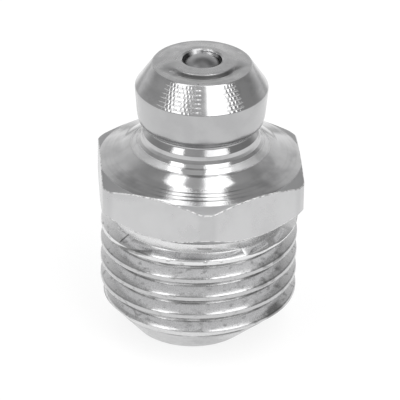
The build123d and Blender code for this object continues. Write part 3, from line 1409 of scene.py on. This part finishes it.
@dataclass
class Spring:
    """The compression spring with closed end coils, in mm."""

    wire_radius: float = 0.15
    mean_radius: float = 0.85
    bottom: float = 1.0
    top: float = 12.479
    open_turns: float = 6.5
    end_turns: float = 0.9
    end_looseness: float = 1.02
    steps_round: int = 44
    wire_sides: int = 14

    def height_at(self, turn: float) -> float:
        """Gives the wire's height where it has wound a number of turns.

        Args:
            turn: Turns from the lower end.

        Returns:
            The height in mm.
        """
        lay = 2 * self.wire_radius * self.end_looseness
        total = self.open_turns + 2 * self.end_turns
        closed = lay * self.end_turns
        if turn < self.end_turns:
            return self.bottom + lay * turn
        if turn > total - self.end_turns:
            return self.top - lay * (total - turn)
        share = (turn - self.end_turns) / self.open_turns
        return self.bottom + closed + (self.top - self.bottom - 2 * closed) * share

    def build(self) -> bpy.types.Object:
        """Builds the coil's mesh with its two cut ends, and dresses it.

        Returns:
            The spring's object.
        """
        total = self.open_turns + 2 * self.end_turns
        count, sides = int(total * self.steps_round), self.wire_sides
        points: list[np.ndarray] = []
        for step in range(count + 1):
            turn = total * step / count
            outward = np.array([math.cos(2 * math.pi * turn), math.sin(2 * math.pi * turn), 0.0])
            middle = self.mean_radius * outward + np.array([0.0, 0.0, self.height_at(turn)])
            for side in range(sides):
                roll = 2 * math.pi * side / sides
                rise = np.array([0.0, 0.0, math.sin(roll)])
                points.append(middle + self.wire_radius * (math.cos(roll) * outward + rise))
        faces: list[Face] = [tuple(range(sides)), tuple(reversed(range(count * sides, len(points))))]
        for step in range(count):
            low, high = step * sides, (step + 1) * sides
            for side in range(sides):
                beside = (side + 1) % sides
                faces.append((low + side, low + beside, high + beside, high + side))
        made = mesh_object("coil_spring", np.array(points) * MM, faces, [0] * len(faces))
        dress(made, [SpringWire("spring_wire")])
        return made


@dataclass(frozen=True)
class Softbox:
    """A long softbox that fans out from a point overhead, given on a ceiling one unit up."""

    apex: Pair
    heading: Pair
    half_width: float
    splay: float
    radiance: float
    softness: float = 0.03
    apex_ease: float = 0.06
    lowest: Edges = (0.22, 0.32)

    def glow(self, graph: NodeGraph, across: Output, along: Output, up: Output) -> Output:
        """Adds the nodes that give the softbox's light towards a direction.

        Args:
            graph: The world's node graph.
            across: Where the direction meets the ceiling, along X.
            along: Where it meets the ceiling, along Y.
            up: The direction's height.

        Returns:
            The socket of the radiance that the softbox adds.
        """
        size = math.hypot(*self.heading)
        toward, side = self.heading[0] / size, self.heading[1] / size
        from_x = graph.math(Op.SUBTRACT, across, self.apex[0])
        from_y = graph.math(Op.SUBTRACT, along, self.apex[1])
        reach = graph.total(graph.times(from_x, toward), graph.times(from_y, side))
        off = graph.math(Op.SUBTRACT, graph.times(from_x, side), graph.times(from_y, toward))
        edge = graph.total(self.half_width, graph.times(reach, self.splay))
        inside = graph.math(Op.SUBTRACT, edge, graph.math(Op.SIZE, off))
        mask = graph.rise(inside, -self.softness, self.softness, self.radiance)
        return graph.times(mask, graph.rise(reach, 0.0, self.apex_ease), graph.rise(up, *self.lowest))


@dataclass
class Studio:
    """The pale floor, the surroundings that the metal mirrors, and the camera, in metres and degrees.

    The slide is in mm across the picture. Each change of the room's light has its edges along one part of
    the direction, from -1 to 1.
    """

    floor_size: float = 3.0
    floor_tone: float = 0.86
    camera_elevation: float = 29.15
    camera_roll: float = 1.11
    camera_distance: float = 0.2
    sensor_width: float = 36.0
    focal_pixels: float = 4057.384
    frame_pixels: float = 400.0
    clip_start: float = 0.01
    target: Triple = (0.0, 0.0, 0.007)
    slide: Pair = (-0.0214, -0.2027)
    floor_glow: float = 1.16
    glow_share: float = 0.69
    far_glow: float = 0.5
    far: Edges = (0.04, 0.15)
    room_level: float = 0.47
    horizon_lift: float = 0.3
    horizon: Edges = (0.0, 0.3)
    back_lift: float = 0.4
    back: Edges = (0.35, 0.85)
    right_drop: float = 0.12
    right: Edges = (0.45, 0.8)
    over_drop: float = 0.08
    over: Edges = (0.6, 0.8)
    over_back: Edges = (0.15, 0.4)
    lowest_ceiling: float = 0.05
    boxes: tuple[Softbox, ...] = (
        Softbox((0.03, 0.394), (0.4687, -0.8834), 0.03, 0.35, 2.2),
        Softbox((0.044, 0.517), (-0.6039, -0.7971), 0.03, 0.155, 2.2),
        Softbox((0.04, 0.8), (-0.1, -0.995), 0.0, 0.3, 0.16, 0.1),
    )

    def floor(self) -> bpy.types.Object:
        """Adds the floor, which is white to the camera and to the metal and keeps a soft shadow.

        Returns:
            The floor's object.
        """
        half = self.floor_size / 2
        corners = [(-half, -half, 0), (half, -half, 0), (half, half, 0), (-half, half, 0)]
        mesh = bpy.data.meshes.new("floor")
        mesh.from_pydata(corners, [], [(0, 1, 2, 3)])
        made = bpy.data.objects.new("floor", mesh)
        bpy.context.scene.collection.objects.link(made)
        material = bpy.data.materials.new("pale_floor")
        material.use_nodes = True
        graph = NodeGraph(material.node_tree)
        path = graph.add("ShaderNodeLightPath").outputs
        mirrored = graph.total(path["Is Glossy Ray"], path["Is Transmission Ray"])
        mirrored = graph.math(Op.LEAST, mirrored, 1.0)
        place = graph.add("ShaderNodeTexCoord").outputs["Object"]
        distance = graph.add("ShaderNodeVectorMath", {0: place}, operation="LENGTH").outputs["Value"]
        fading = graph.times(mirrored, graph.rise(distance, *self.far, self.floor_glow - self.far_glow))
        strength = graph.math(Op.SUBTRACT, self.floor_glow, fading)
        matt = graph.add("ShaderNodeBsdfDiffuse", {"Color": (*grey(self.floor_tone, 0.0), 1)})
        glow = graph.add("ShaderNodeEmission", {"Color": (1, 1, 1, 1), "Strength": strength})
        seen = graph.math(Op.LEAST, graph.total(path["Is Camera Ray"], mirrored), 1.0)
        share = graph.times(seen, self.glow_share)
        graph.show("ShaderNodeOutputMaterial", share, matt.outputs[0], glow.outputs[0])
        mesh.materials.append(material)
        return made

    def surroundings(self) -> bpy.types.World:
        """Sets the world: white to the camera, and for the metal a dim room with its softboxes.

        Returns:
            The world.
        """
        world = bpy.data.worlds.new("room")
        bpy.context.scene.world = world
        world.use_nodes = True
        graph = NodeGraph(world.node_tree)
        across, along, up = graph.split(graph.add("ShaderNodeTexCoord").outputs["Generated"])
        height = graph.math(Op.MOST, up, self.lowest_ceiling)
        ceiling = [graph.math(Op.DIVIDE, part, height) for part in (across, along)]
        over = graph.times(graph.rise(up, *self.over), graph.rise(along, *self.over_back, -self.over_drop))
        room = graph.total(
            self.room_level,
            graph.fall(up, *self.horizon, self.horizon_lift),
            graph.rise(along, *self.back, self.back_lift),
            graph.rise(across, *self.right, -self.right_drop),
            over,
            *(box.glow(graph, *ceiling, up) for box in self.boxes),
        )
        glow = graph.add("ShaderNodeBackground", {"Strength": room})
        white = graph.add("ShaderNodeBackground", {"Strength": 1.0})
        seen = graph.add("ShaderNodeLightPath").outputs["Is Camera Ray"]
        graph.show("ShaderNodeOutputWorld", seen, glow.outputs[0], white.outputs[0])
        return world

    def camera(self) -> bpy.types.Object:
        """Adds the camera at the viewing angle and makes it the scene's own.

        Returns:
            The camera's object.
        """
        lift, roll = math.radians(self.camera_elevation), math.radians(self.camera_roll)
        ahead = Vector((0, math.cos(lift), -math.sin(lift)))
        side, down = Vector((1, 0, 0)), Vector((0, -math.sin(lift), -math.cos(lift)))
        right = math.cos(roll) * side - math.sin(roll) * down
        under = math.sin(roll) * side + math.cos(roll) * down
        across, below = self.slide
        eye = Vector(self.target) - (across * right + below * under) * MM - ahead * self.camera_distance
        data = bpy.data.cameras.new("camera")
        data.sensor_width = self.sensor_width
        data.lens = self.focal_pixels / self.frame_pixels * self.sensor_width
        data.clip_start = self.clip_start
        made = bpy.data.objects.new("camera", data)
        turn = Matrix((right, -under, -ahead)).transposed().to_4x4()
        made.matrix_world = Matrix.Translation(eye) @ turn
        bpy.context.scene.collection.objects.link(made)
        bpy.context.scene.camera = made
        return made


def main() -> None:
    """Builds the studio and every piece."""
    logging.basicConfig(level=logging.INFO, format="%(name)s: %(message)s")
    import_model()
    studio = Studio()
    studio.camera()
    studio.floor()
    studio.surroundings()
    bpy.context.scene.view_settings.view_transform = "Standard"
    LOG.info("studio ready")

    body = Fitting().build()
    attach(body, "fitting")
    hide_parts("body")
    LOG.info("fitting_body: %d faces", len(body.data.polygons))

    ball = CheckBall().build()
    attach(ball, "ball")
    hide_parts("check_ball")
    LOG.info("ball: %d faces", len(ball.data.polygons))

    coil = Spring().build()
    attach(coil, "fitting")
    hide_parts("spring")
    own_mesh(coil)
    LOG.info("coil_spring: %d faces", len(coil.data.polygons))

    bpy.context.view_layer.update()


if __name__ == "__main__":
    main()
